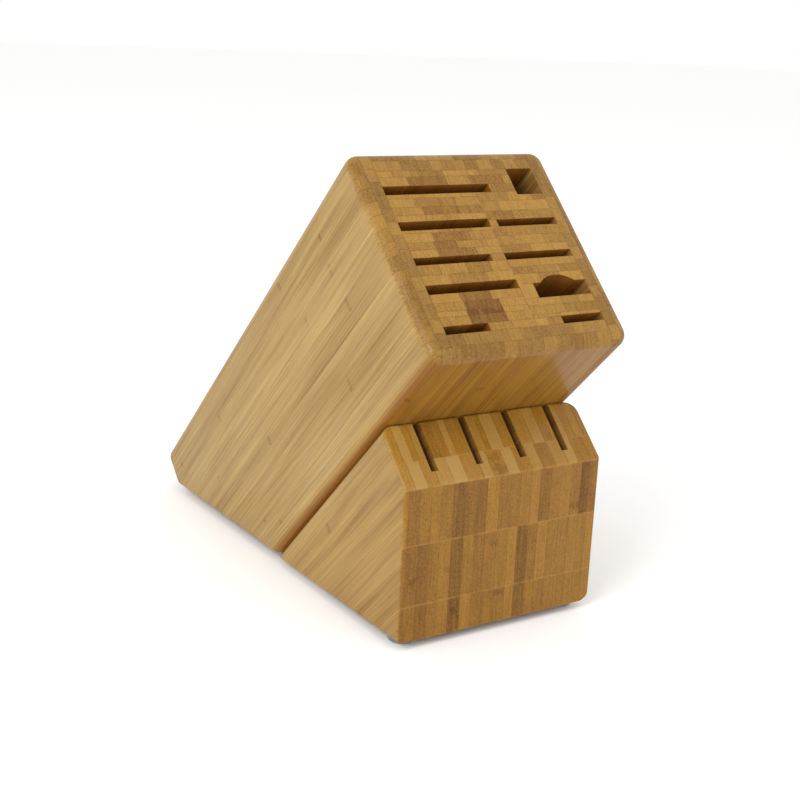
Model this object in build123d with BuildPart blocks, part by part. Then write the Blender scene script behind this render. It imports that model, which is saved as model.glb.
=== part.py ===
from build123d import *
import os
from math import cos, radians, sin

os.makedirs("parts", exist_ok=True)

# Knife block glued up from bamboo boards: a tall billet leans forward over a low
# block for table knives, and both stand on four bumper feet.
# +X is to the right, -Y is the front and +Z is up. The origin is on the table,
# under the middle of the block. In the leaning billet, x runs across the block and
# "level" runs square to the grain, from the underside of the billet to its back.

# ---- driving sizes, mm -----------------------------------------------------

# leaning billet
block_width = 130.0
billet_thickness = 130.4
grain_rise = radians(45.0)
underside_length = 225.0
heel_run = 104.0

# panels that close the four long sides of the core, each made of plies
side_panel = 13.3
face_panel = 13.8
plies = 2

# rounded edges
long_edge_radius = 8.0
mouth_edge_radius = 6.5
heel_edge_radius = 4.0

# line where the two columns of the core meet
column_joint = 6.0

# levels of the lower walls of the slots, row by row
santoku_level = 37.9
carving_level = 56.0
bread_level = 77.8
cleaver_level = 101.0
shears_level = 30.9

# slot thicknesses
broad_slot = 5.6
narrow_slot = 4.5
paring_slot = 4.8

# widths of the slots that stop short of the column joint
paring_width = 27.8
utility_width = 48.6
slicer_width = 40.4
cleaver_width = 68.8

# square socket for the honing steel
steel_socket = 17.9

# shears socket, with an arched relief for the pivot
shears_width = 35.9
shears_gap = 9.3
arch_chord = 23.4
arch_rise = 4.4
arch_inset = 5.2

# low front block
front_step = 0.8
front_depth = 140.2
front_height = 86.7
front_edge_radius = 2.0
base_left_radius = 2.5
base_right_radius = 8.0
rib_board = 23.2
kerf_board = 37.5
lower_board = 24.2

# saw kerfs for table knives
kerf_count = 4
kerf_width = 4.5
kerf_depth = 30.2
kerf_spacing = 29.2

# bumper feet
foot_radius = 7.9
foot_height = 5.0
foot_taper = 0.6
foot_lip = 1.5
foot_front_x = 54.2
foot_rear_x = 42.0
foot_front_inset = 14.0
foot_rear_inset = 20.0

# ---- layout ----------------------------------------------------------------

# distance that a rounded edge reaches past its centre line, seen from the side
round_reach = sin(grain_rise) + cos(grain_rise)

# the end of the heel lies further down the grain than the end of the underside
back_length = underside_length + heel_run

# the front block stands a little proud of the billet at both sides
front_width = block_width + 2 * front_step

# side view: distance behind the front face and height above the timber's base
mouth_back = front_depth - underside_length * cos(grain_rise)
mouth_height = underside_length * sin(grain_rise)
heel_back = mouth_back + billet_thickness * sin(grain_rise) + back_length * cos(grain_rise)
base_back = mouth_back + (back_length - mouth_height * sin(grain_rise)) / cos(grain_rise)
lip_reach = mouth_back + mouth_edge_radius * (round_reach - 1)
heel_reach = heel_back - heel_edge_radius * (round_reach - 1)
front_y = -(lip_reach + heel_reach) / 2

# x runs across the mouth plane and y runs up through the levels
grain = Vector(0, -cos(grain_rise), sin(grain_rise))
mouth = Plane(
    origin=(0, front_y + mouth_back, foot_height + mouth_height),
    x_dir=(1, 0, 0),
    z_dir=grain,
)
base = Plane.XY.offset(foot_height)
grain_axis = Axis(mouth.origin, grain)
front_shoulder = (front_depth - front_height) / 2

# inner faces of the four panels
core_left = side_panel - block_width / 2
core_right = block_width / 2 - side_panel
core_low = face_panel
core_high = billet_thickness - face_panel

# levels of the upper walls of the slots
paring_top = core_low + paring_slot
santoku_top = santoku_level + broad_slot
carving_top = carving_level + narrow_slot
bread_top = bread_level + broad_slot
slicer_top = bread_level + narrow_slot
cleaver_top = cleaver_level + broad_slot
shears_top = shears_level + shears_gap
socket_left = core_right - steel_socket
socket_low = core_high - steel_socket

# ---- blanks ----------------------------------------------------------------

# the whole leaning billet, before it is parted along its glue lines
with BuildPart() as billet:
    with BuildSketch(mouth):
        Rectangle(block_width, billet_thickness, align=(Align.CENTER, Align.MIN))
    extrude(amount=-back_length)
    fillet(billet.edges().filter_by(grain_axis), radius=long_edge_radius)
    fillet(billet.faces().sort_by(grain_axis)[-1].edges(), radius=mouth_edge_radius)
    split(bisect_by=base, keep=Keep.TOP)
    heel_faces = billet.faces().filter_by(Axis.Z) + billet.faces().sort_by(grain_axis)[:1]
    fillet(heel_faces.edges(), radius=heel_edge_radius)

# the whole front block: its outline from the side, along the grain and from the front
with BuildPart() as front_block:
    with BuildSketch(Plane.YZ):
        with BuildLine():
            Polyline(
                (front_y, foot_height),
                (front_y, foot_height + front_height),
                (front_y + front_shoulder, foot_height + front_height + front_shoulder),
                (front_y + front_depth, foot_height),
                close=True,
            )
        make_face()
    extrude(amount=front_width / 2, both=True)
    with BuildSketch(mouth) as front_section:
        Rectangle(front_width, front_depth, align=(Align.CENTER, Align.MAX))
        fillet(front_section.vertices().group_by(Axis.Y)[-1], radius=long_edge_radius)
    extrude(amount=-back_length, mode=Mode.INTERSECT)
    mouth_edges = front_block.faces().sort_by(grain_axis)[-1].edges()
    face_edges = front_block.faces().sort_by(Axis.Y)[0].edges().filter_by(Axis.Z)
    fillet(mouth_edges + face_edges, radius=front_edge_radius)
    with BuildSketch(Plane.XZ.offset(-front_y - front_depth)) as front_outline:
        with Locations((0, foot_height)):
            Rectangle(front_width, front_depth, align=(Align.CENTER, Align.MIN))
        fillet(front_outline.vertices().group_by(Axis.Y)[0].sort_by(Axis.X)[0], radius=base_left_radius)
        fillet(front_outline.vertices().group_by(Axis.Y)[0].sort_by(Axis.X)[-1], radius=base_right_radius)
    extrude(amount=front_depth, mode=Mode.INTERSECT)


# ---- timber ----------------------------------------------------------------


def timber(label, blank, left, right, low, high, long=back_length):
    """Part one board out of a blank, between two x positions and two levels."""
    with BuildPart() as board:
        with BuildSketch(mouth):
            with Locations(((left + right) / 2, (low + high) / 2)):
                Rectangle(right - left, high - low)
        extrude(amount=-long)
        add(blank.part, mode=Mode.INTERSECT)
    finish(label, board)
    return board


def finish(label, piece):
    """Name a finished piece and write it."""
    piece.part.label = label
    export_step(piece.part, f"parts/{label}.step")


# side panels: two plies on each side, running from the underside to the back
side_ply = side_panel / plies
for number in range(1, plies + 1):
    out = block_width / 2 - side_ply * (number - 1)
    timber(f"left_panel_ply_{number}", billet, -out, side_ply - out, 0, billet_thickness)
    timber(f"right_panel_ply_{number}", billet, out - side_ply, out, 0, billet_thickness)

# underside and back panels: two plies each, between the side panels
face_ply = face_panel / plies
for number in range(1, plies + 1):
    out = face_ply * (number - 1)
    top = billet_thickness - out
    timber(f"underside_ply_{number}", billet, core_left, core_right, out, out + face_ply)
    timber(f"back_ply_{number}", billet, core_left, core_right, top - face_ply, top)

# left column: each slot is closed on the left by the side panel
left_boards = (
    ("left_board_1", paring_top, santoku_level),
    ("left_board_2", santoku_top, carving_level),
    ("left_board_3", carving_top, bread_level),
    ("left_board_4", bread_top, cleaver_level),
)
for label, low, high in left_boards:
    timber(label, billet, core_left, column_joint, low, high)
paring_end = core_left + paring_width
utility_end = core_left + utility_width
timber("left_spacer_1", billet, paring_end, column_joint, core_low, paring_top)
timber("left_spacer_3", billet, utility_end, column_joint, carving_level, carving_top)

# right column: each slot is closed on the right by the side panel
timber("right_board_1", billet, column_joint, core_right, paring_top, shears_level)
timber("right_board_3", billet, column_joint, core_right, carving_top, bread_level)
paring_end = core_right - paring_width
shears_end = core_right - shears_width
slicer_end = core_right - slicer_width
timber("right_spacer_1", billet, column_joint, paring_end, core_low, paring_top)
timber("right_spacer_2", billet, column_joint, shears_end, shears_level, shears_top)
timber("right_spacer_4", billet, column_joint, slicer_end, bread_level, slicer_top)

# board over the shears socket, hollowed along its length by the pivot relief
arch_radius = (arch_chord**2 / 4 + arch_rise**2) / (2 * arch_rise)
arch_centre = (shears_end + arch_inset + arch_chord / 2, shears_top + arch_rise - arch_radius)
with BuildPart() as arched_board:
    with BuildSketch(mouth):
        with Locations(((column_joint + core_right) / 2, (shears_top + carving_level) / 2)):
            Rectangle(core_right - column_joint, carving_level - shears_top)
        with Locations(arch_centre):
            Circle(arch_radius, mode=Mode.SUBTRACT)
    extrude(amount=-back_length)
    add(billet.part, mode=Mode.INTERSECT)
finish("right_board_2", arched_board)

# board under the steel socket, rebated for the lower corner of the socket
with BuildPart() as rebated_board:
    with BuildSketch(mouth):
        with Locations(((column_joint + core_right) / 2, (slicer_top + cleaver_level) / 2)):
            Rectangle(core_right - column_joint, cleaver_level - slicer_top)
        with Locations(((socket_left + core_right) / 2, (socket_low + core_high) / 2)):
            Rectangle(steel_socket, steel_socket, mode=Mode.SUBTRACT)
    extrude(amount=-back_length)
    add(billet.part, mode=Mode.INTERSECT)
finish("right_board_4", rebated_board)

# top row, closed on the right by the steel socket
cleaver_end = core_left + cleaver_width
timber("top_spacer", billet, cleaver_end, socket_left, cleaver_level, cleaver_top)
timber("top_board", billet, core_left, socket_left, cleaver_top, core_high)

# ---- front block -----------------------------------------------------------

# boards below the one that carries the ribs, counted down from the billet
kerf_low = -rib_board - kerf_board
lower_low = kerf_low - lower_board
front_half = front_width / 2
timber("front_lower_board", front_block, -front_half, front_half, lower_low, kerf_low)
timber("front_toe_board", front_block, -front_half, front_half, -front_depth, lower_low)

# the upper two boards, sawn along the grain from the side that meets the billet
with BuildPart() as sawn_block:
    add(front_block.part)
    with BuildSketch(mouth):
        with Locations((0, -kerf_depth / 2)):
            with GridLocations(kerf_spacing, 1, kerf_count, 1):
                Rectangle(kerf_width, kerf_depth)
    extrude(amount=-back_length, mode=Mode.SUBTRACT)
timber("front_kerf_board", sawn_block, -front_half, front_half, kerf_low, -rib_board)

# the saw parts the uppermost board into ribs, one more than there are kerfs
kerf_first = -kerf_spacing * (kerf_count - 1) / 2
for number in range(kerf_count + 1):
    centre = kerf_first + kerf_spacing * (number - 0.5)
    left = max(centre - kerf_spacing / 2, -front_half)
    right = min(centre + kerf_spacing / 2, front_half)
    timber(f"front_rib_{number + 1}", sawn_block, left, right, -rib_board, 0)

# ---- feet ------------------------------------------------------------------

feet = {
    "front": (foot_front_x, front_y + foot_front_inset),
    "rear": (foot_rear_x, front_y + base_back - foot_rear_inset),
}
for row, (foot_out, foot_y) in feet.items():
    for hand, foot_x in (("left", -foot_out), ("right", foot_out)):
        with BuildPart() as foot:
            with BuildSketch(Plane(origin=(foot_x, foot_y, 0))):
                Circle(foot_radius - foot_taper)
            with BuildSketch(base) as pad:
                with Locations((foot_x, foot_y)):
                    Circle(foot_radius)
            loft()
            fillet(foot.faces().sort_by(Axis.Z)[0].edges(), radius=foot_lip)
        finish(f"foot_{row}_{hand}", foot)
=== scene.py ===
# %% [markdown]
# # A laminated bamboo knife block
# The block is glued up from bamboo staves. Each CAD board is the right solid, but it is plain: on the real
# object every board is a row of narrow staves, and the eye reads the block by their small colour changes.
# The script loads the CAD boards as a fixed frame, cuts a copy of each one into its staves, and gives the
# staves a solid bamboo material, so that sides, end grain and slanted cuts all come from the same fibres.

# %% Load the frame
import math
import random

import bmesh
import bpy
from mathutils import Matrix, Vector


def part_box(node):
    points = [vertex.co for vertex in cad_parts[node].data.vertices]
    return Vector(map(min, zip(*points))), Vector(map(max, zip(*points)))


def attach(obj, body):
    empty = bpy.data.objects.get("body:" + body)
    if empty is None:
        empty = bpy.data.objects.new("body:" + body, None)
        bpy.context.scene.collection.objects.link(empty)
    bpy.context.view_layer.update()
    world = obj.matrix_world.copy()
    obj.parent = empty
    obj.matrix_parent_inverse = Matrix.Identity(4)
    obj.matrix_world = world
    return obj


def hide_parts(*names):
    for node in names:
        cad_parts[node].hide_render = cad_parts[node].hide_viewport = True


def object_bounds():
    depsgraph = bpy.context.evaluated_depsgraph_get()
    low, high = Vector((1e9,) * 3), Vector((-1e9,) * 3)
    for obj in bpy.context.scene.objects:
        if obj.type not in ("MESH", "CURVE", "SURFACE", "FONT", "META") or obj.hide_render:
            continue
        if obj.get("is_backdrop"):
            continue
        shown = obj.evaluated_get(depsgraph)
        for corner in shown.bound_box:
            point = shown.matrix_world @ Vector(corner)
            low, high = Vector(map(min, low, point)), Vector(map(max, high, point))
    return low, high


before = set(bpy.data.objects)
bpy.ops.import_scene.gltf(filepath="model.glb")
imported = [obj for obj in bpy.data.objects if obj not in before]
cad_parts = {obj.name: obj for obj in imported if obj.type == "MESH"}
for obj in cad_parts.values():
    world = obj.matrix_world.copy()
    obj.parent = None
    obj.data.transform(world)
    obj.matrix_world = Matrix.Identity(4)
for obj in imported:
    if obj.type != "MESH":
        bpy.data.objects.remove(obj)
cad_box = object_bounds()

print("CAD box, m:", [round(v, 4) for corner in cad_box for v in corner])

# %% [markdown]
# ## The grain frame
# All staves of the leaning billet and of the front block run the same way, 45 degrees back from upright.
# It is easiest to think in three directions: across the block (x), along the fibres, and a level that is
# square to both and counts up from the joint between the front block and the billet. Both zero points are
# read from the CAD boards, so nothing here has to be fitted.

# %% Directions and zero points
MM = 0.001
LEAN = math.radians(45)
ACROSS = Vector((1, 0, 0))
GRAIN = Vector((0, -math.cos(LEAN), math.sin(LEAN)))
LEVEL = Vector((0, math.sin(LEAN), math.cos(LEAN)))


def span(node, direction):
    """The lowest and highest place of a CAD node along a direction, in metres."""
    places = [v.co.dot(direction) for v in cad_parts[node].data.vertices]
    return min(places), max(places)


joint_level = span("front_rib_3", LEVEL)[1]
mouth_place = span("left_board_2", GRAIN)[1]
print("joint level, mm:", round(joint_level / MM, 2), " mouth, mm:", round(mouth_place / MM, 2))

# %% [markdown]
# ## How each board is laid up
# A board's staves are written as rows, from its low level to its high one, and each row as the places where
# one stave ends and the next begins, in millimetres across the block. The panels are one stave thick with
# staves about 8.6 mm wide. The core boards are bricks about twice as wide as they are thick, and the front
# boards stand their staves on edge. The rows could be drawn by a brick pattern in the shader, but real
# glue-ups aren't regular, so the joints that can be seen on the end grain are listed one by one.

# %% The lay-up
PANEL_STAVE = 8.6
THINNEST = 1
billet_top = (span("back_ply_1", LEVEL)[1] - joint_level) / MM


def panel_joints(phase):
    """Joints one stave apart through the whole thickness of the billet, the first one at the phase."""
    count = math.ceil((billet_top - phase) / PANEL_STAVE)
    places = [phase + PANEL_STAVE * n for n in range(count)]
    return [place for place in places if place < billet_top - THINNEST]


OUTER_BACK = [-49.7, -40.1, -31.8, -23.4, -15, -6.5, 2, 10.7, 19.6, 27.5, 36.4, 45.4]
INNER_BACK = [-43, -34.3, -23.5, -15.2, -7.8, -0.2, 7.4, 16, 25.8, 33.7, 42.7]
OUTER_UNDER = [-46.5, -37.8, -28.9, -19.7, -10.9, -2.3, 6, 14.9, 23.2, 32.4, 41.1]
INNER_UNDER = [-42.4, -32.4, -23.7, -14.7, -6.4, 2.1, 10.9, 19.4, 28.2, 36.7, 45.6]
FRONT_STAVES = [
    -63, -55.7, -48.6, -42.2, -34.5, -26.7, -19.2, -12.6, -4.2,
    3.3, 9.8, 17.1, 23.7, 31.1, 38.2, 45.8, 52.7, 58.6,
]
BEVEL_STAVES = [-59.2, -51.4, -43.7, -34.8, -25.8, -15.4, -8.8, 1, 8.7, 17.7, 24.6, 33.5, 42.5, 49.6, 58.2]

# board: (levels between rows, joints of each row from the lowest row up)
LAY_UP = {
    "left_panel_ply_1": (panel_joints(2.9), []),
    "left_panel_ply_2": (panel_joints(6.4), []),
    "right_panel_ply_1": (panel_joints(5.1), []),
    "right_panel_ply_2": (panel_joints(1.8), []),
    "underside_ply_1": ([], [OUTER_UNDER]),
    "underside_ply_2": ([], [INNER_UNDER]),
    "back_ply_1": ([], [OUTER_BACK]),
    "back_ply_2": ([], [INNER_BACK]),
    "left_board_1": ([24, 27.4, 32.6], [[-33.5, -10.4], [-33.5, -10.4], [-33, -10.4], [-33.5, -14]]),
    "left_board_2": ([49.6], [[-34.4, -11, -4.5], [-38, -21.5, -6]]),
    "left_board_3": ([65.4, 70.1, 75.9], [[-35, -10.4], [-35, -21, -2], [-33.8, -10.4], [-29, -8]]),
    "left_board_4": ([87.5, 92.6, 98.4], [[-33, -12.2], [-32.8, -9.6], [-36, -9.6], [-22, -4]]),
    "left_spacer_1": ([], [[-9.2]]),
    "left_spacer_3": ([], [[]]),
    "right_board_1": ([20.6, 26.2], [[24, 38], [29.6], [29.6, 41]]),
    "right_board_2": ([46.5, 51.2], [[22, 36], [19, 38.5], [27, 44]]),
    "right_board_3": ([65.6, 71.6], [[25.4, 40.2], [18.3, 37.5], [28.4]]),
    "right_board_4": ([88.2, 94.9], [[24.4, 41], [17.6, 35.2], [26.5, 43]]),
    "right_spacer_1": ([], [[14.5]]),
    "right_spacer_2": ([], [[]]),
    "right_spacer_4": ([], [[]]),
    "top_spacer": ([], [[]]),
    "top_board": ([112.6], [[-34.3, -9.4, 5.7, 28.8], [-42, -25.5, -9.4, 14.5]]),
    "front_rib_1": ([], [[-59.9, -54.1, -50]]),
    "front_rib_2": ([], [[-36, -30.7, -26.1]]),
    "front_rib_3": ([], [[-6.6, -3.4, 5.2]]),
    "front_rib_4": ([], [[25.7, 33.3, 38.8]]),
    "front_rib_5": ([], [[49.9, 55.5, 61]]),
    "front_kerf_board": ([-38.6], [FRONT_STAVES, BEVEL_STAVES]),
    "front_lower_board": ([], [FRONT_STAVES]),
    "front_toe_board": ([], [FRONT_STAVES]),
}
print("boards laid up:", len(LAY_UP))

# %% [markdown]
# ## Which staves stand out
# Bamboo is steamed until it turns caramel, and each stave takes a little more or less colour. Most get a
# random shade from a fixed seed. The ones that catch the eye are listed: a shade of -1 is the
# darkest brown and 1 the palest straw.

# %% Listed shades
SHADES = {
    "front_kerf_board": {
        0: [0.4, -0.2, 0.1, 0.3, 0, -0.6, -0.3, -0.5, 0.4, -0.1, 0, 0.2, 0.3, -0.4, 0.1, 0.3, 0, -0.9, -0.2],
        1: [0.7, 1.1, 0.6, 0.9, 1.2, 0.6, 0.9, 0.5, 1, 0.4, 0.8, 0.1, 0.7, 0.9, 0.2, 0.4],
    },
    "front_rib_1": {0: [0.6, 1, 0.5, 0.7]},
    "front_rib_2": {0: [-0.2, 0.3, 0.8, 0.4]},
    "front_rib_3": {0: [0.6, 0.3, 0.9, 0.5]},
    "front_rib_4": {0: [0.6, 0.8, 0.2, 0.5]},
    "front_rib_5": {0: [0.7, 0.4, 0.6, 0.3]},
    "front_lower_board": {
        0: [-0.2, -0.3, -0.5, 0, 0.3, -0.6, 0.1, -0.2, 0, 0.1, 0.5, -0.7, -0.2, 0.5, 0.1, 0.1, 0.3, 0.2, 0.4],
    },
    "front_toe_board": {
        0: [-0.3, -0.1, -0.4, 0, 0.3, -0.8, 0.4, -0.1, 0, 0, 0.4, -0.5, 0, 0, 0.1, 0, 0.2, 0.1, 0.3],
    },
    "left_board_1": {0: [0.1, -0.9, 0.3], 1: [0.3, -1, 0.4], 2: [0, -1, 0.3], 3: [0.3, -0.7, 0.2]},
    "left_board_2": {0: [0.3, -0.2, 0.2, 0.5], 1: [0.1, 0.3, -0.4, 0.3]},
    "left_board_3": {0: [0.3, -0.6, 0.3], 1: [0, -0.7, 0.1, 0.4], 2: [0.4, -0.5, 0.1], 3: [0.2, -0.2, 0.4]},
    "left_board_4": {0: [0.3, 0.1, 0.5], 1: [0.2, -0.6, -0.3], 2: [0.3, -0.3, 0.2], 3: [0.1, 0.4, 0.2]},
    "right_board_1": {0: [0.2, 0.5, 0.2], 1: [0.1, -0.3], 2: [0.3, -0.1, 0.3]},
    "top_board": {0: [0.2, -0.7, 0.1, -0.5, 0.2], 1: [0.3, 0, -0.4, 0.3, -0.2]},
}
RANDOM_SHADE = 0.45
dice = random.Random(7)


def shade_of(node, row, column):
    """The listed shade of a stave, or a random one."""
    chosen = SHADES.get(node, {}).get(row)
    return chosen[column] if chosen else dice.uniform(-RANDOM_SHADE, RANDOM_SHADE)


# %% [markdown]
# ## Cutting the staves
# A board could be rebuilt as many small boxes, but its rounded edges, slots and rebates are already right in
# the CAD mesh. So a merged copy is sliced by planes instead: first between its rows, then each row across.
# The slices move nothing. They only let each face know which stave it belongs to: its middle, half its
# size, its shade and a seed, written as face attributes that the material reads. One more attribute marks
# the walls of the slots, where the material paints shade to darken them. Area-weighted normals keep the
# flats flat beside the rounded edges.

# %% Slice a board
SHARP = math.radians(30)
WELD = 1e-6


def slice_faces(form, faces, normal, place):
    """Cut the faces where the plane at a place along its normal passes."""
    parts = set(faces)
    parts.update(e for f in faces for e in f.edges)
    parts.update(v for f in faces for v in f.verts)
    bmesh.ops.bisect_plane(form, geom=list(parts), dist=WELD, plane_co=normal * place, plane_no=normal)


def level_of(face):
    """The level of a face's middle, in metres above the joint."""
    return face.calc_center_median().dot(LEVEL) - joint_level


def in_row(form, low, high):
    """The faces whose middles lie between two levels."""
    return [f for f in form.faces if low <= level_of(f) < high]


# %% [markdown]
# The slots are found by their walls: faces that run with the grain, inside the core or between the ribs.
# The core's own boards say how far it goes to the left and right, and the inner plies how far down and up.
# In the front block the kerfs stop a little over 30 mm under the joint, and the last kerf ends at the last
# rib.

# %% Find the walls of the slots
KERF_LEVEL = -30.5 * MM
ALONG_GRAIN = 0.3
REACH = 0.2 * MM
core_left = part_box("left_board_2")[0].x - REACH
core_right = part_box("right_board_2")[1].x + REACH
core_low = span("underside_ply_2", LEVEL)[1] - joint_level - REACH
core_high = span("back_ply_2", LEVEL)[0] - joint_level + REACH
ribs_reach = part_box("front_rib_5")[0].x + REACH
print("core across, mm:", round(core_left / MM, 1), "to", round(core_right / MM, 1))


def is_slot_wall(node, face):
    """Whether a face is a wall of a slot."""
    if abs(face.normal.dot(GRAIN)) > ALONG_GRAIN:
        return False
    across, level = face.calc_center_median().x, level_of(face)
    if node.startswith("front_"):
        return level > KERF_LEVEL and abs(across) < ribs_reach
    return core_left < across < core_right and core_low < level < core_high


# %% [markdown]
# A board's rows are sliced over its whole width. The places across are sliced row by row, because staves in
# neighbouring rows don't line up. The outermost rows reach far past the board, so that no face is missed.

# %% Slice one board into staves
FAR = 1000 * MM


def lay_staves(form, node, levels, joints):
    """Slice a board, and list its row levels and each row's staves: two edges, a shade and a seed."""
    low, high = (v - joint_level for v in span(node, LEVEL))
    left, right = span(node, ACROSS)
    rows = [low, *[v * MM for v in levels], high]
    for level in rows[1:-1]:
        slice_faces(form, form.faces[:], LEVEL, level + joint_level)
    staves = []
    for row in range(len(rows) - 1):
        cuts = [v * MM for v in joints[row]] if joints else []
        bottom = -FAR if row == 0 else rows[row]
        top = FAR if row == len(rows) - 2 else rows[row + 1]
        for place in cuts:
            slice_faces(form, in_row(form, bottom, top), ACROSS, place)
        edges = enumerate(zip([left, *cuts], [*cuts, right]))
        staves.append([(*pair, shade_of(node, row, column), dice.random()) for column, pair in edges])
    return rows, staves


# %% [markdown]
# The facts of a stave are stored on its faces rather than as separate materials, so that one bamboo serves
# every stave of a board. An edge that bends by more than 30 degrees stays sharp.

# %% Cut a board and write its facts
def write_faces(mesh, name, values):
    """Store a number or a vector for each face under a name that a material can read."""
    if isinstance(values[0], tuple):
        layer = mesh.attributes.new(name, "FLOAT_VECTOR", "FACE")
        layer.data.foreach_set("vector", [n for v in values for n in v])
    else:
        layer = mesh.attributes.new(name, "FLOAT", "FACE")
        layer.data.foreach_set("value", values)


def cut_board(node, levels, joints):
    """A copy of a CAD board, sliced into its staves, with each stave's facts on its faces."""
    form = bmesh.new()
    form.from_mesh(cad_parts[node].data)
    bmesh.ops.remove_doubles(form, verts=form.verts, dist=WELD)
    rows, staves = lay_staves(form, node, levels, joints)
    facts = {"stave_middle": [], "stave_half": [], "stave_shade": [], "stave_seed": [], "slot_wall": []}
    for face in form.faces:
        level, across = level_of(face), face.calc_center_median().x
        row = sum(level >= v for v in rows[1:-1])
        low, high = rows[row], rows[row + 1]
        left, right, shade, seed = next((s for s in staves[row] if across < s[1]), staves[row][-1])
        facts["stave_middle"].append(((left + right) / 2 / MM, (low + high) / 2 / MM, 0))
        facts["stave_half"].append(((right - left) / 2 / MM, (high - low) / 2 / MM, 0))
        facts["stave_shade"].append(shade)
        facts["stave_seed"].append(seed)
        facts["slot_wall"].append(float(is_slot_wall(node, face)))
        face.smooth = True
    for edge in form.edges:
        edge.smooth = len(edge.link_faces) == 2 and edge.calc_face_angle() < SHARP
    mesh = bpy.data.meshes.new(node + "_staves")
    form.to_mesh(mesh)
    form.free()
    for name, values in facts.items():
        write_faces(mesh, name, values)
    piece = bpy.data.objects.new(node + "_staves", mesh)
    bpy.context.scene.collection.objects.link(piece)
    weights = piece.modifiers.new("flat flats", "WEIGHTED_NORMAL")
    weights.keep_sharp = True
    return piece


# %% [markdown]
# ## Colours and nodes
# Colours are written as hex values, the way a colour picker shows them, and turned to the linear values that
# the renderer works in by one function. One more function adds a node with its settings and links.

# %% Two helpers for materials
def linear(code):
    """An sRGB hex colour as linear red, green, blue and alpha."""
    channels = [int(code[n:n + 2], 16) / 255 for n in (1, 3, 5)]
    return (*[c / 12.92 if c <= 0.04045 else ((c + 0.055) / 1.055) ** 2.4 for c in channels], 1)


def add(tree, kind, inputs=None, **settings):
    """Add a node, apply its settings, then give each input a value or link another node's output to it.

    A whole node given as a value stands for the first of its outputs that is in use.
    """
    node = tree.nodes.new(kind)
    for name, value in settings.items():
        setattr(node, name, value)
    for name, value in (inputs or {}).items():
        if isinstance(value, bpy.types.Node):
            value = next(socket for socket in value.outputs if socket.enabled)
        if isinstance(value, bpy.types.NodeSocket):
            tree.links.new(value, node.inputs[name])
        else:
            node.inputs[name].default_value = value
    return node


# %% [markdown]
# ## Bamboo, sanded and oiled
# Bamboo is a bundle of hard dark fibres in pale pith, all running along the stem. Seen from the side it
# shows fine streaks and, every hand's width or so, the ring of a node; cut square it shows dots; cut at a
# slant, short dashes. Three separate patterns could be painted for these, but one solid pattern that is
# stretched along the grain gives all three by itself, wherever the block is cut. It reads Object coordinates,
# turned so that x is across the block, y the level and z the place along the grain, all in millimetres.
# The bundles are about 0.5 mm apart on the real stem. Here they are drawn about 1.1 mm apart, so that they
# can be seen.
# Cut ends drink more oil, so they have their own, browner pair of colours.

# %% Places and directions in the bamboo
SMOOTH = {"interpolation_type": "SMOOTHSTEP"}
STEM_JUMP = (173, 311, 1970)
CUT_RAMP = {"From Min": 0.15, "From Max": 0.72}


def stave_places(tree, coords, seed):
    """The place in the grain frame, in mm, and the same place moved to a stem of each stave's own."""
    grain = add(tree, "ShaderNodeMapping", {
        "Vector": coords.outputs["Object"],
        "Scale": (1 / MM,) * 3,
        "Rotation": (-LEAN, 0, 0),
        "Location": (0, -joint_level / MM, -mouth_place / MM),
    })
    jump = add(tree, "ShaderNodeVectorMath", {0: STEM_JUMP, "Scale": seed}, operation="SCALE")
    return grain, add(tree, "ShaderNodeVectorMath", {0: grain, 1: jump}, operation="ADD")


def facing(tree, coords, direction):
    """How squarely the surface faces along a direction or against it, from 0 to 1."""
    normal = coords.outputs["Normal"]
    along = add(tree, "ShaderNodeVectorMath", {0: normal, 1: direction}, operation="DOT_PRODUCT")
    return add(tree, "ShaderNodeMath", {0: along}, operation="ABSOLUTE")


# %% [markdown]
# The glue shows as a thin dark line where two staves meet, stronger on cut ends and never quite even. Its
# distance comes from the stave's own middle and half size. Where the surface lies in the plane of a joint,
# that joint can't be seen as a line, so it is pushed out of reach.

# %% The glue lines
GLUE_WIDTH = 0.35
GLUE_LINE = {"From Min": GLUE_WIDTH * 0.3, "From Max": GLUE_WIDTH * 1.5, "To Min": 1, "To Max": 0}
IN_JOINT_PLANE = {"From Min": 0.75, "From Max": 0.95, "To Max": 20}
PATCH_SCALE = 0.16
PATCH_RAMP = {"From Min": 0.38, "From Max": 0.62, "To Min": 0.3, "To Max": 1}
GLUE_ON_SIDES = 0.2
GLUE_MORE_ON_CUTS = 0.27


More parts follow.
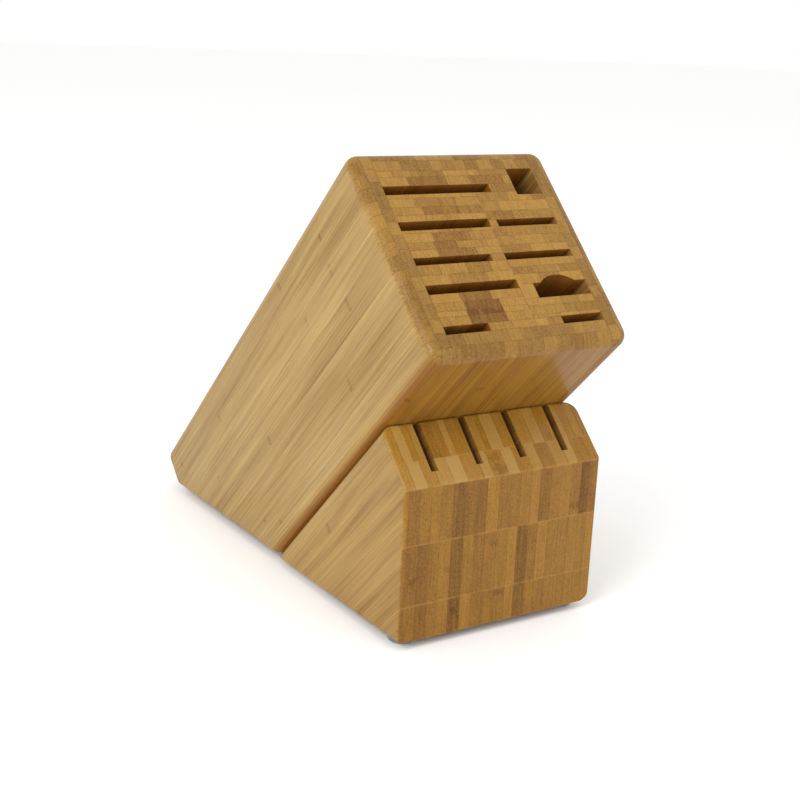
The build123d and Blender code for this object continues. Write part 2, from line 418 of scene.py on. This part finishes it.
def glue_lines(tree, grain, offset, cut, sideways, upright):
    """How much glue shows between neighbours in a row, and between rows."""
    half = add(tree, "ShaderNodeAttribute", attribute_name="stave_half")
    away = add(tree, "ShaderNodeVectorMath", {0: offset}, operation="ABSOLUTE")
    room = add(tree, "ShaderNodeVectorMath", {0: half.outputs["Vector"], 1: away}, operation="SUBTRACT")
    room = add(tree, "ShaderNodeSeparateXYZ", {0: room})
    patches = add(tree, "ShaderNodeTexNoise", {"Vector": grain, "Scale": PATCH_SCALE, "Detail": 2})
    patches = add(tree, "ShaderNodeMapRange", {"Value": patches, **PATCH_RAMP})
    strength = {0: cut, 1: GLUE_MORE_ON_CUTS, 2: GLUE_ON_SIDES}
    strength = add(tree, "ShaderNodeMath", strength, operation="MULTIPLY_ADD")
    patchy = add(tree, "ShaderNodeMath", {0: patches, 1: strength}, operation="MULTIPLY")
    lines = []
    for axis, in_plane in (("X", sideways), ("Y", upright)):
        push = add(tree, "ShaderNodeMapRange", {"Value": in_plane, **IN_JOINT_PLANE})
        distance = add(tree, "ShaderNodeMath", {0: room.outputs[axis], 1: push}, operation="ADD")
        line = add(tree, "ShaderNodeMapRange", {"Value": distance, **GLUE_LINE})
        lines.append(add(tree, "ShaderNodeMath", {0: line, 1: patchy}, operation="MULTIPLY"))
    return lines


# %% [markdown]
# The fibres are three noises and a cell pattern, all much longer in the grain than across it: fine streaks,
# the bundles, a slow drift of colour, and flat layers that show on cut ends. One side of a stave was nearer
# the skin of the stem, where the bundles crowd together. The scales are turns per millimetre across, in
# level and along the grain: the drift is about 7 mm wide and 110 mm long, and a layer is a little over a
# millimetre thick.

# %% The fibres
FIBRE_PITCH, FIBRE_LENGTH = 0.8, 70
BUNDLE_PITCH, BUNDLE_LENGTH = 1.15, 1.15 * 90
STREAK_SCALE = (1 / FIBRE_PITCH, 1 / FIBRE_PITCH, 1 / FIBRE_LENGTH)
BUNDLE_SCALE = (1 / BUNDLE_PITCH, 1 / BUNDLE_PITCH, 1 / BUNDLE_LENGTH)
DRIFT_SCALE = (0.14, 0.14, 0.009)
LAYER_SCALE = (0.75, 0.05, 0.005)
BUNDLE_EDGE = {"From Min": 0.2, "From Max": 0.5, "To Min": 1, "To Max": 0}
CROWDING = 0.05


def fibre_noise(tree, own, scale, **detail):
    """A noise in the stave's own places, with a scale for each direction."""
    stretched = add(tree, "ShaderNodeMapping", {"Vector": own, "Scale": scale})
    return add(tree, "ShaderNodeTexNoise", {"Vector": stretched, "Scale": 1, **detail})


def fibre_bundles(tree, own, offset, seed):
    """Bundles from 0 to 1, packed closer on the side of the stave that was near the skin."""
    packed = add(tree, "ShaderNodeMapping", {"Vector": own, "Scale": BUNDLE_SCALE})
    spots = add(tree, "ShaderNodeTexVoronoi", {"Vector": packed, "Scale": 1, "Randomness": 0.8})
    bundles = add(tree, "ShaderNodeMapRange", {"Value": spots, **BUNDLE_EDGE})
    across = add(tree, "ShaderNodeSeparateXYZ", {0: offset})
    skin_side = add(tree, "ShaderNodeMath", {0: seed, 1: 0.5}, operation="SUBTRACT")
    toward_skin = add(tree, "ShaderNodeMath", {0: across, 1: skin_side}, operation="MULTIPLY")
    crowd = add(tree, "ShaderNodeMath", {0: toward_skin, 1: CROWDING, 2: 0.5}, operation="MULTIPLY_ADD")
    return add(tree, "ShaderNodeMath", {0: bundles, 1: crowd}, operation="MULTIPLY")


# %% [markdown]
# A node of the stem is a hard ring where a leaf grew, planed down to a narrow dark line across a stave. A
# ruler of rings far apart gives one here and there, and the streaks make it waver.

# %% The rings of the stem's nodes
STEM_NODE_PITCH = 260
RING_WAVER = 7
RING_EDGE = {"From Min": 0.3, "From Max": 2.2, "To Min": 1, "To Max": 0}
RING_CHANCE = 0.52


def stem_rings(tree, own, streaks, drift):
    """Narrow rings, a long way apart, on some of the staves only."""
    place = add(tree, "ShaderNodeSeparateXYZ", {0: own})
    waver = {0: streaks, 1: RING_WAVER, 2: place.outputs["Z"]}
    along = add(tree, "ShaderNodeMath", waver, operation="MULTIPLY_ADD")
    ring = add(tree, "ShaderNodeMath", {0: along, 1: STEM_NODE_PITCH / 2}, operation="PINGPONG")
    ring = add(tree, "ShaderNodeMapRange", {"Value": ring, **RING_EDGE}, **SMOOTH)
    shown = add(tree, "ShaderNodeMath", {0: drift, 1: RING_CHANCE}, operation="GREATER_THAN")
    return add(tree, "ShaderNodeMath", {0: ring, 1: shown}, operation="MULTIPLY")


# %% [markdown]
# All of these add up to one darkness, from 0 for the pale colour to 1 for the dark one. Each source has a
# share on the sides of the fibres and a change to that share where they are cut: the staves differ more in
# shade on their ends, and the slow drift shows less there.

# %% How dark each place is
MEDIUM = 0.44
SHADE_SHARE = (-0.16, -0.23)
STREAK_SHARE = (0.95, -0.1)
DRIFT_SHARE = (0.95, -0.7)
LAYER_SHARE = (0, 0.5)
BUNDLE_SHARE = 0.34
RING_SHARE = 0.22


def darkness(tree, own, offset, seed, shade, cut):
    """The darkness of the bamboo and the fine streaks in it."""
    streaks = fibre_noise(tree, own, STREAK_SCALE, Detail=3, Roughness=0.65)
    drift = fibre_noise(tree, own, DRIFT_SCALE, Detail=2)
    layers = fibre_noise(tree, own, LAYER_SCALE, Detail=2)
    sources = [(shade, SHADE_SHARE)]
    for noise, shares in ((streaks, STREAK_SHARE), (drift, DRIFT_SHARE), (layers, LAYER_SHARE)):
        sources.append((add(tree, "ShaderNodeMath", {0: noise, 1: 0.5}, operation="SUBTRACT"), shares))
    dark = MEDIUM
    for source, (on_side, more_on_cut) in sources:
        share = add(tree, "ShaderNodeMath", {0: cut, 1: more_on_cut, 2: on_side}, operation="MULTIPLY_ADD")
        dark = add(tree, "ShaderNodeMath", {0: source, 1: share, 2: dark}, operation="MULTIPLY_ADD")
    bundles = fibre_bundles(tree, own, offset, seed)
    rings = stem_rings(tree, own, streaks, drift)
    dark = add(tree, "ShaderNodeMath", {0: bundles, 1: BUNDLE_SHARE, 2: dark}, operation="MULTIPLY_ADD")
    total = {0: rings, 1: RING_SHARE, 2: dark}
    return add(tree, "ShaderNodeMath", total, operation="MULTIPLY_ADD", use_clamp=True), streaks


# %% [markdown]
# The underside of the billet gets a darker, warmer pair of colours than its sides, as painted shade, and the
# rounding beside the front block is darkened more, also painted shade. The slot walls get painted shade too.

# %% The underside and its seam, with painted shade
# Painted shade: the multiply colour that darkens the rounding beside the front block.
SEAM_SHADE = "#F7E9CC"
UNDER_SHADE_RAMP = {"From Min": 0.25, "From Max": 0.8}
ROUNDING_RAMP = {"From Min": 0.1, "From Max": 0.6}
SHADE_MULTIPLY = {"data_type": "RGBA", "blend_type": "MULTIPLY"}


def underside(tree, coords, sideways, dark, side, colours):
    """The side colour, turning to a darker, warmer pair of colours underneath and darker on the rounding, as
    painted shade.
    """
    normal = coords.outputs["Normal"]
    # Painted shade: faces turned down take the darker, warmer underside colours.
    down = add(tree, "ShaderNodeVectorMath", {0: normal, 1: -LEVEL}, operation="DOT_PRODUCT")
    under = add(tree, "ShaderNodeMapRange", {"Value": down, **UNDER_SHADE_RAMP}, **SMOOTH)
    pale, deep = map(linear, colours)
    warm = add(tree, "ShaderNodeMix", {0: dark, 6: pale, 7: deep}, data_type="RGBA")
    side = add(tree, "ShaderNodeMix", {0: under, 6: side, 7: warm}, data_type="RGBA")
    rounding = add(tree, "ShaderNodeMapRange", {"Value": sideways, **ROUNDING_RAMP}, **SMOOTH)
    # Painted shade: the rounding that faces down and sideways is darkened by a multiply.
    seam = add(tree, "ShaderNodeMath", {0: under, 1: rounding}, operation="MULTIPLY")
    seam_shaded = add(tree, "ShaderNodeMix", {0: 1.0, 6: side, 7: linear(SEAM_SHADE)}, **SHADE_MULTIPLY)
    return add(tree, "ShaderNodeMix", {0: seam, 6: side, 7: seam_shaded}, data_type="RGBA")


# %% [markdown]
# The finish is a thin wiped oil: a soft sheen, a little duller where the wood is dark and open, and a very
# shallow relief from the streaks and the glue lines.

# %% The bamboo material
GLUE_COLOUR = "#5E3C16"
STRAW_COLOUR = "#AC9A6E"
# Painted shade: the multiply colour that darkens the walls of the slots.
WALL_SHADE = "#E2D2C4"
STRAW_RAMP = {"From Min": 0.5, "From Max": 1.5, "To Max": 0.42}
ROUGHNESS = {"To Min": 0.4, "To Max": 0.58}
RELIEF = {"Strength": 0.35, "Distance": 0.08 * MM}
OIL = {"IOR": 1.5, "Specular IOR Level": 0.08, "Coat Weight": 0.35, "Coat Roughness": 0.2}


def bamboo(name, side_colours, end_colours, joint_colour, under_shade_colours=None):
    """A solid bamboo: pale and dark colours for the side of the fibres and their cut ends, and a darker pair
    as painted shade on the underside.
    """
    material = bpy.data.materials.new(name)
    material.use_nodes = True
    tree = material.node_tree
    tree.nodes.clear()

    coords = add(tree, "ShaderNodeTexCoord")
    middle = add(tree, "ShaderNodeAttribute", attribute_name="stave_middle").outputs["Vector"]
    shade = add(tree, "ShaderNodeAttribute", attribute_name="stave_shade").outputs["Fac"]
    seed = add(tree, "ShaderNodeAttribute", attribute_name="stave_seed").outputs["Fac"]
    wall = add(tree, "ShaderNodeAttribute", attribute_name="slot_wall").outputs["Fac"]
    grain, own = stave_places(tree, coords, seed)
    offset = add(tree, "ShaderNodeVectorMath", {0: grain, 1: middle}, operation="SUBTRACT")
    sideways, upright, endways = (facing(tree, coords, d) for d in (ACROSS, LEVEL, GRAIN))
    cut = add(tree, "ShaderNodeMapRange", {"Value": endways, **CUT_RAMP}, **SMOOTH)
    glue_across, glue_level = glue_lines(tree, grain, offset, cut, sideways, upright)
    dark, streaks = darkness(tree, own, offset, seed, shade, cut)

    side, end = (
        add(tree, "ShaderNodeMix", {0: dark, 6: linear(pale), 7: linear(deep)}, data_type="RGBA")
        for pale, deep in (side_colours, end_colours)
    )
    if under_shade_colours:
        side = underside(tree, coords, sideways, dark, side, under_shade_colours)
    straw = add(tree, "ShaderNodeMapRange", {"Value": shade, **STRAW_RAMP})
    end = add(tree, "ShaderNodeMix", {0: straw, 6: end, 7: linear(STRAW_COLOUR)}, data_type="RGBA")
    colour = add(tree, "ShaderNodeMix", {0: cut, 6: side, 7: end}, data_type="RGBA")
    for glue, code in ((glue_across, GLUE_COLOUR), (glue_level, joint_colour)):
        colour = add(tree, "ShaderNodeMix", {0: glue, 6: colour, 7: linear(code)}, data_type="RGBA")
    # Painted shade: the walls of the slots are darkened.
    shaded_wall = add(tree, "ShaderNodeMix", {0: 1.0, 6: colour, 7: linear(WALL_SHADE)}, **SHADE_MULTIPLY)
    colour = add(tree, "ShaderNodeMix", {0: wall, 6: colour, 7: shaded_wall}, data_type="RGBA")

    gloss = add(tree, "ShaderNodeMapRange", {"Value": dark, **ROUGHNESS})
    glue = add(tree, "ShaderNodeMath", {0: glue_across, 1: glue_level}, operation="ADD")
    hollow = add(tree, "ShaderNodeMath", {0: streaks, 1: -1}, operation="MULTIPLY")
    height = add(tree, "ShaderNodeMath", {0: hollow, 1: glue}, operation="SUBTRACT")
    bump = add(tree, "ShaderNodeBump", {"Height": height, **RELIEF})
    surface = {"Base Color": colour, "Roughness": gloss, "Normal": bump, **OIL}
    surface = add(tree, "ShaderNodeBsdfPrincipled", surface)
    add(tree, "ShaderNodeOutputMaterial", {"Surface": surface})
    return material


# %% [markdown]
# ## The three bamboos of this block
# The outer panels, the slotted core and the front block are glued from different batches. The panels show
# mostly long grain and have stayed the yellowest. The core shows only cut ends round the slots. The front
# block is the most golden brown, and its face is cut slantwise through the staves.

# %% Make the bamboos
PALE_JOINT = "#A97A3A"
panel_bamboo = bamboo(
    "caramel_bamboo_panel_oiled",
    side_colours=("#B09357", "#74511C"),
    end_colours=("#A27B38", "#5C3B0E"),
    joint_colour=GLUE_COLOUR,
    under_shade_colours=("#A6792E", "#663C0B"),
)
core_bamboo = bamboo(
    "caramel_bamboo_core_oiled",
    side_colours=("#A87732", "#6E4410"),
    end_colours=("#AC8338", "#623B0D"),
    joint_colour=GLUE_COLOUR,
)
front_bamboo = bamboo(
    "caramel_bamboo_front_oiled",
    side_colours=("#A88749", "#6D4813"),
    end_colours=("#9E7125", "#573409"),
    joint_colour=PALE_JOINT,
)
print("bamboos:", panel_bamboo.name, core_bamboo.name, front_bamboo.name)

# %% [markdown]
# Each board gets its staves and its bamboo by its name, so that a board that is added to the lay-up needs
# nothing else here.

# %% Cut every board and give it its bamboo
FINISHES = {
    "front": ("bamboo_front", front_bamboo),
    "panel": ("bamboo_panel", panel_bamboo),
    "core": ("bamboo_core", core_bamboo),
}


def finish_of(node):
    """Front block, outer panel or core, from a board's name."""
    if node.startswith("front_"):
        return "front"
    return "panel" if "_ply_" in node else "core"


staved = {}
for node, (levels, joints) in LAY_UP.items():
    slot, material = FINISHES[finish_of(node)]
    piece = cut_board(node, levels, joints)
    piece.data.materials.append(material)
    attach(piece, "root")
    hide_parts(node)
    staved[node] = piece
print("staved boards:", len(staved), " faces:", sum(len(p.data.polygons) for p in staved.values()))

# %% [markdown]
# ## Clear bumper feet
# Four round self-adhesive bumpers, cast in clear polyurethane, lift the block off the worktop. One bumper
# could be copied four times by hand. Geometry Nodes say it better: a disc is given its rounded rim by a rule
# that depends on height, and one instance of it goes to each of four points read from the frame.

# %% Measure the feet
foot_boxes = {n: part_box(n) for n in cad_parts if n.startswith("foot_")}
foot_low, foot_high = foot_boxes["foot_front_left"]
foot_radius = (foot_high.x - foot_low.x) / 2
foot_height = foot_high.z - foot_low.z
foot_middles = [(low + high) / 2 for low, high in foot_boxes.values()]
print("foot radius, mm:", round(foot_radius / MM, 2), " height:", round(foot_height / MM, 2))

# %% [markdown]
# Cast polyurethane is clear but looks grey in the shadow under the block, and its surface has a faint haze
# from handling, which a fine noise gives as an uneven gloss.

# %% Clear polyurethane
HAZE_SCALE = 400
HAZE_GLOSS = {"To Min": 0.05, "To Max": 0.22}
clear = bpy.data.materials.new("clear_polyurethane_cast")
clear.use_nodes = True
clear_tree = clear.node_tree
clear_tree.nodes.clear()
haze_place = add(clear_tree, "ShaderNodeTexCoord").outputs["Object"]
haze = add(clear_tree, "ShaderNodeTexNoise", {"Vector": haze_place, "Scale": HAZE_SCALE, "Detail": 2})
clear_surface = add(clear_tree, "ShaderNodeBsdfPrincipled", {
    "Base Color": linear("#A9AEB0"),
    "Roughness": add(clear_tree, "ShaderNodeMapRange", {"Value": haze, **HAZE_GLOSS}),
    "IOR": 1.49,
    "Transmission Weight": 0.6,
})
add(clear_tree, "ShaderNodeOutputMaterial", {"Surface": clear_surface})

# %% [markdown]
# The profile rule works from the worktop up. At the bottom the radius shrinks along a quarter circle, which
# makes the soft lower rim. Above it the wall stays upright to the adhesive face.

# %% The inputs of the feet
feet_tree = bpy.data.node_groups.new("bumper_feet", "GeometryNodeTree")
feet_tree.interface.new_socket("Geometry", in_out="INPUT", socket_type="NodeSocketGeometry")
for name in ("Radius", "Height", "Rim"):
    feet_tree.interface.new_socket(name, in_out="INPUT", socket_type="NodeSocketFloat")
feet_tree.interface.new_socket("Geometry", in_out="OUTPUT", socket_type="NodeSocketGeometry")
given = add(feet_tree, "NodeGroupInput")
radius, height, rim = (given.outputs[name] for name in ("Radius", "Height", "Rim"))

# %% [markdown]
# The foot starts as a plain cylinder with many rings up its side, and each ring is drawn in by the rule.

# %% One foot
FOOT_MESH = {"Vertices": 48, "Side Segments": 14, "Fill Segments": 5}
disc = {**FOOT_MESH, "Radius": radius, "Depth": height}
disc = add(feet_tree, "GeometryNodeMeshCylinder", disc, fill_type="NGON")
where = add(feet_tree, "GeometryNodeInputPosition")
place = add(feet_tree, "ShaderNodeSeparateXYZ", {0: where})
half_height = add(feet_tree, "ShaderNodeMath", {0: height, 1: 2}, operation="DIVIDE")
above = add(feet_tree, "ShaderNodeMath", {0: place.outputs["Z"], 1: half_height}, operation="ADD")
share = add(feet_tree, "ShaderNodeMath", {0: above, 1: rim}, operation="DIVIDE", use_clamp=True)
short = add(feet_tree, "ShaderNodeMath", {0: 1.0, 1: share}, operation="SUBTRACT")
squared = add(feet_tree, "ShaderNodeMath", {0: short, 1: 2}, operation="POWER")
rounded = add(feet_tree, "ShaderNodeMath", {0: 1.0, 1: squared}, operation="SUBTRACT")
arc = add(feet_tree, "ShaderNodeMath", {0: rounded}, operation="SQRT")
drawn_in = add(feet_tree, "ShaderNodeMath", {0: 1.0, 1: arc}, operation="SUBTRACT")
slim = add(feet_tree, "ShaderNodeMath", {0: rim, 1: radius}, operation="DIVIDE")
narrow = add(feet_tree, "ShaderNodeMath", {0: drawn_in, 1: slim}, operation="MULTIPLY")
factor = add(feet_tree, "ShaderNodeMath", {0: 1.0, 1: narrow}, operation="SUBTRACT")
spread = add(feet_tree, "ShaderNodeCombineXYZ", {"X": factor, "Y": factor, "Z": 1.0})
rounder = add(feet_tree, "ShaderNodeVectorMath", {0: where, 1: spread}, operation="MULTIPLY")
shaped = add(feet_tree, "GeometryNodeSetPosition", {"Geometry": disc, "Position": rounder})

# %% [markdown]
# One copy goes to each point that the tree is given. The copies are made real and get their material in the
# tree, because an instance or an empty slot would be lost when the model leaves Blender.

# %% Four feet
copies = {"Points": given.outputs["Geometry"], "Instance": shaped}
copies = add(feet_tree, "GeometryNodeInstanceOnPoints", copies)
real = add(feet_tree, "GeometryNodeRealizeInstances", {"Geometry": copies})
smooth = add(feet_tree, "GeometryNodeSetShadeSmooth", {"Geometry": real})
coated = add(feet_tree, "GeometryNodeSetMaterial", {"Geometry": smooth, "Material": clear})
add(feet_tree, "NodeGroupOutput", {"Geometry": coated})

# %% [markdown]
# The tree runs on a mesh that is only four points, the middles of the four CAD feet. Its result is kept as a
# plain mesh, and the host is removed.

# %% Run the tree and keep a plain mesh
FOOT_RIM = 1.5 * MM
sockets = {s.name: s.identifier for s in feet_tree.interface.items_tree if s.in_out == "INPUT"}
points = bpy.data.meshes.new("foot_middles")
points.from_pydata(foot_middles, [], [])
host = bpy.data.objects.new("feet_host", points)
bpy.context.scene.collection.objects.link(host)
maker = host.modifiers.new("feet", "NODES")
maker.node_group = feet_tree
sizes = {"Radius": foot_radius, "Height": foot_height, "Rim": FOOT_RIM}
for name, value in sizes.items():
    maker[sockets[name]] = value
finished = host.evaluated_get(bpy.context.evaluated_depsgraph_get())
feet_mesh = bpy.data.meshes.new_from_object(finished)
bpy.data.objects.remove(host)
feet = bpy.data.objects.new("bumper_feet", feet_mesh)
bpy.context.scene.collection.objects.link(feet)
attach(feet, "root")
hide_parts(*foot_boxes)
print("feet faces:", len(feet_mesh.polygons))

# %% [markdown]
# ## Studio
# The block stands on a plain white floor under large soft lights. The main one is to the left and a little
# in front, so the left side is the brightest; a weaker one fills the slotted face, and a white world keeps
# the shadows open. The Standard view transform keeps white paper white.

# %% Floor and world
FLOOR_REACH = 12
corners = [(x * FLOOR_REACH, y * FLOOR_REACH, 0) for x, y in ((-1, -1), (1, -1), (1, 1), (-1, 1))]
floor_mesh = bpy.data.meshes.new("floor")
floor_mesh.from_pydata(corners, [], [(0, 1, 2, 3)])
floor = bpy.data.objects.new("floor", floor_mesh)
bpy.context.scene.collection.objects.link(floor)
paper = bpy.data.materials.new("white_paper_sweep")
paper.use_nodes = True
paper_surface = paper.node_tree.nodes["Principled BSDF"]
paper_surface.inputs["Base Color"].default_value = linear("#FCFCFB")
paper_surface.inputs["Roughness"].default_value = 0.9
paper_surface.inputs["Specular IOR Level"].default_value = 0.1
floor_mesh.materials.append(paper)
floor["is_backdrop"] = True

world = bpy.data.worlds.new("white_studio")
world.use_nodes = True
world.node_tree.nodes["Background"].inputs["Color"].default_value = (1, 1, 1, 1)
world.node_tree.nodes["Background"].inputs["Strength"].default_value = 1.0
bpy.context.scene.world = world
bpy.context.scene.view_settings.view_transform = "Standard"

# %% [markdown]
# Both lights are large and square, like the softboxes of a small studio, so that the shadows have no hard
# edge and the oiled bamboo shows a wide, dull sheen.

# %% Lights
middle_of_block = (cad_box[0] + cad_box[1]) / 2


def softbox(name, place, size, power):
    """A square area light that faces the block."""
    light = bpy.data.lights.new(name, "AREA")
    light.size, light.energy = size, power
    lamp = bpy.data.objects.new(name, light)
    lamp.location = place
    lamp.rotation_euler = (middle_of_block - Vector(place)).to_track_quat("-Z", "Y").to_euler()
    bpy.context.scene.collection.objects.link(lamp)


softbox("key_left", place=(-2.2, -0.9, 1.6), size=1.4, power=41)
softbox("fill_front", place=(0.5, -2.6, 1.6), size=1.6, power=13.6)

# %% [markdown]
# ## Camera
# A long-ish lens, a little above the block and to its left, slightly rolled. Its three axes are
# written as they were found, so the view can be checked against the frame without any turning by eye.

# %% Place the camera
RIGHT = Vector((0.84029, -0.54027, 0.04496))
UP = Vector((0.10660, 0.24598, 0.96339))
TOWARDS_EYE = Vector((-0.53155, -0.80474, 0.26429))
EYE = Vector((-0.43676, -0.69706, 0.32181))
SENSOR_WIDTH = 36
LENS = 61.62
camera_data = bpy.data.cameras.new("camera")
camera_data.sensor_width = SENSOR_WIDTH
camera_data.lens = LENS
camera_data.clip_start = 0.05
camera = bpy.data.objects.new("camera", camera_data)
turn = Matrix((RIGHT, UP, TOWARDS_EYE)).transposed().to_4x4()
camera.matrix_world = Matrix.Translation(EYE) @ turn
bpy.context.scene.collection.objects.link(camera)
bpy.context.scene.camera = camera
print("camera to the middle of the block, m:", round((EYE - middle_of_block).length, 3))

# %% [markdown]
# ## Sizes and finish
# The CAD box and the box of the finished model are compared, and the largest difference is printed. They
# should be the same, because the staves are cut in place and the feet are made to the frame's sizes.

# %% Compare the two boxes
visual_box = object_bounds()
differences = [abs(a - b) for p, q in zip(cad_box, visual_box) for a, b in zip(p, q)]
print("largest difference, mm:", round(max(differences) / MM, 3))
